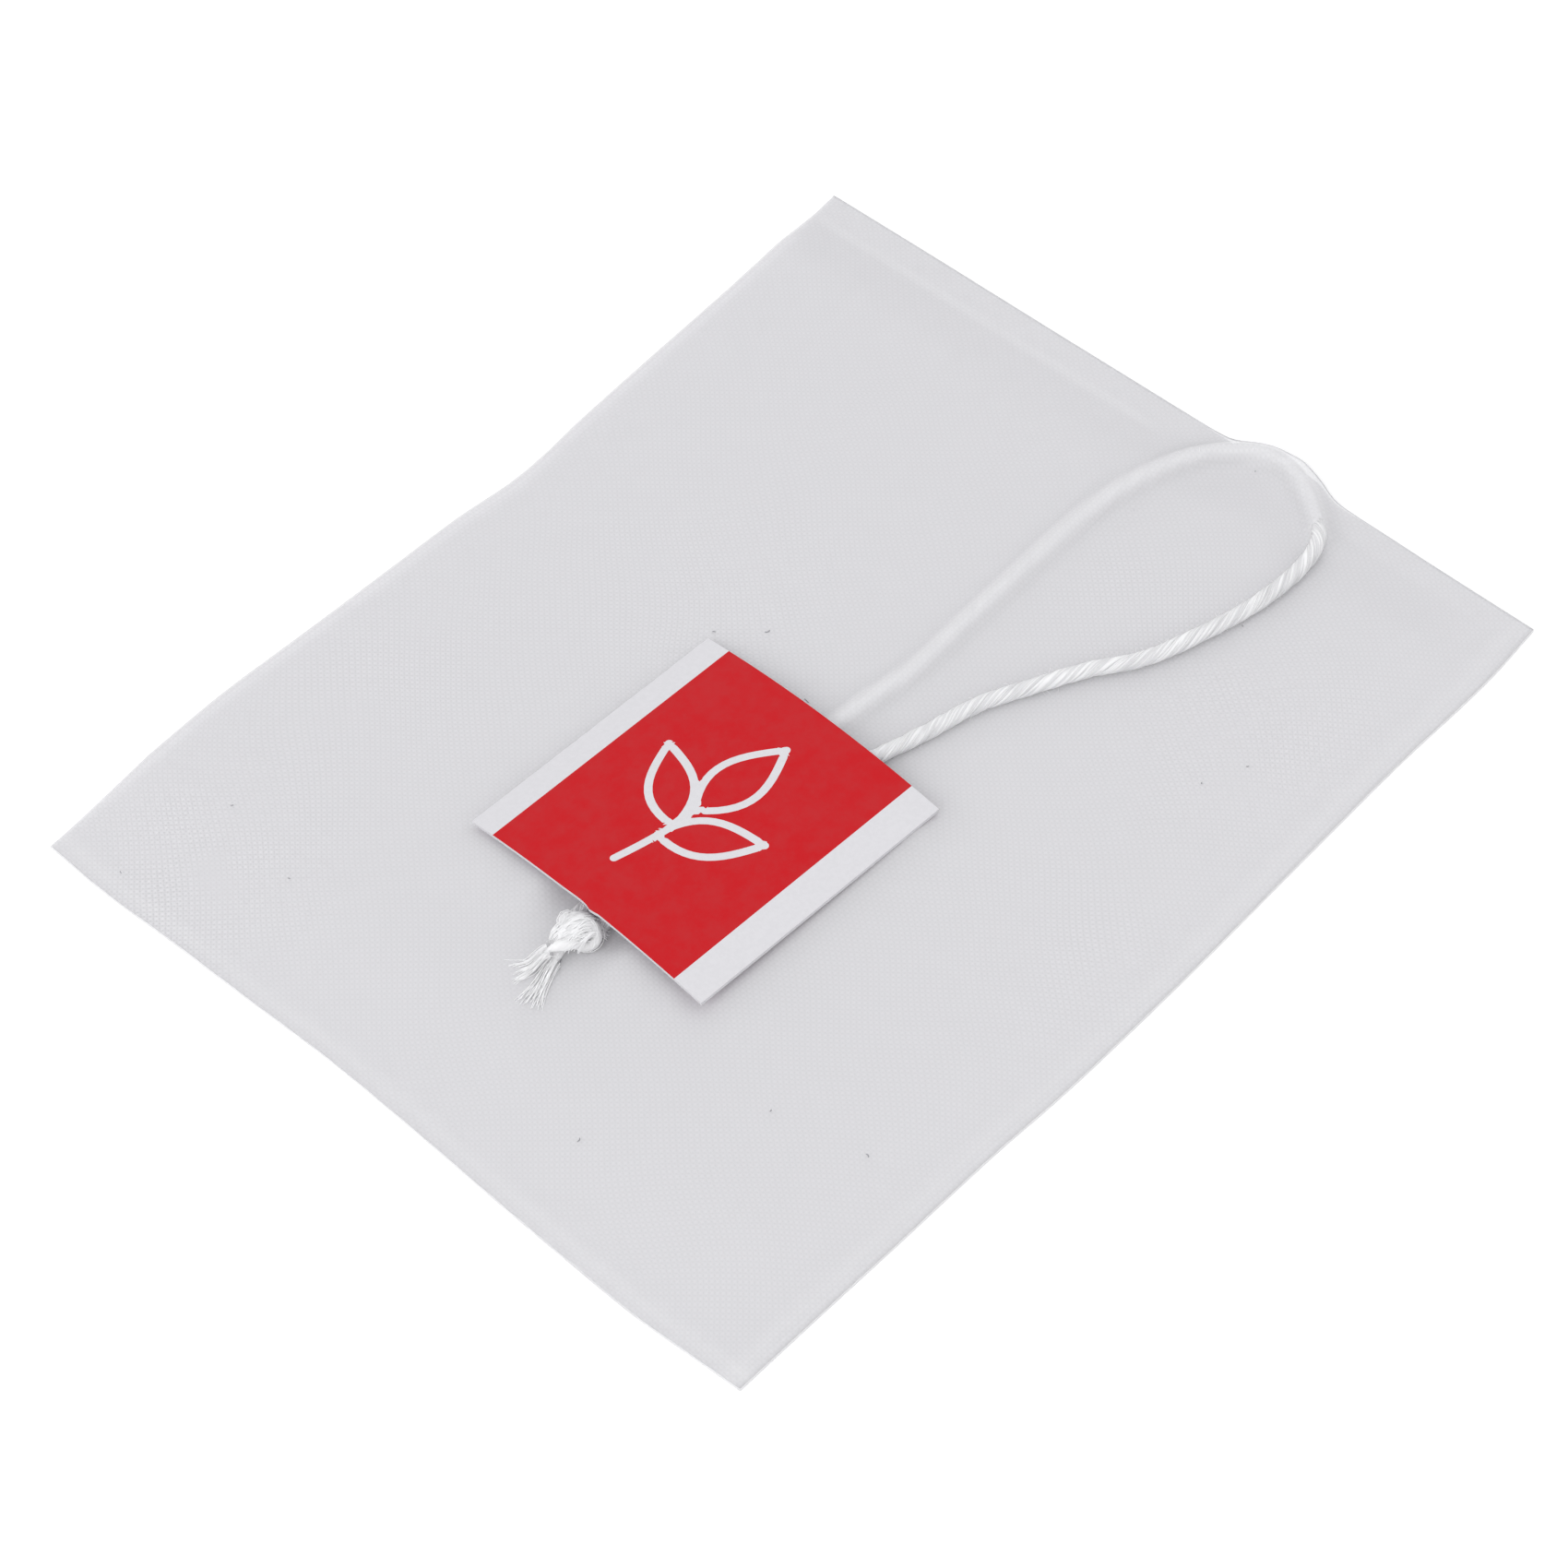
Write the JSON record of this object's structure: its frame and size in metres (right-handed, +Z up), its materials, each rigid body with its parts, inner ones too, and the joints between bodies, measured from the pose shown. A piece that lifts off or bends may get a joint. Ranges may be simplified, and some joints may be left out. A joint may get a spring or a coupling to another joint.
{
  "type": "tea filter bag",
  "caption": "Flat heat-seal mesh pouch that takes loose tea and closes into a pyramid, with a cotton string loop and a square paper tag.",
  "frame": {"origin": "middle of the pouch's outline, on the surface that it lies on", "axes": "+Z up, +Y along the pouch from the open mouth to the sealed end with the string, +X from the folded edge to the long seam"},
  "size_m": [0.0596, 0.0719, 0.0028],
  "materials": {
    "nylon_mesh": "sheer white plain-woven monofilament mesh, faintly shiny",
    "cotton_string": "bleached twisted cotton, matte and slightly fuzzy",
    "tag_paper": "coated white card with a printed red band, slightly glossy"
  },
  "bodies": {
    "root": {"mesh_pouch": "nylon_mesh", "string": "cotton_string", "string_knot": "cotton_string", "paper_tag": "tag_paper"}
  },
  "joints": []
}
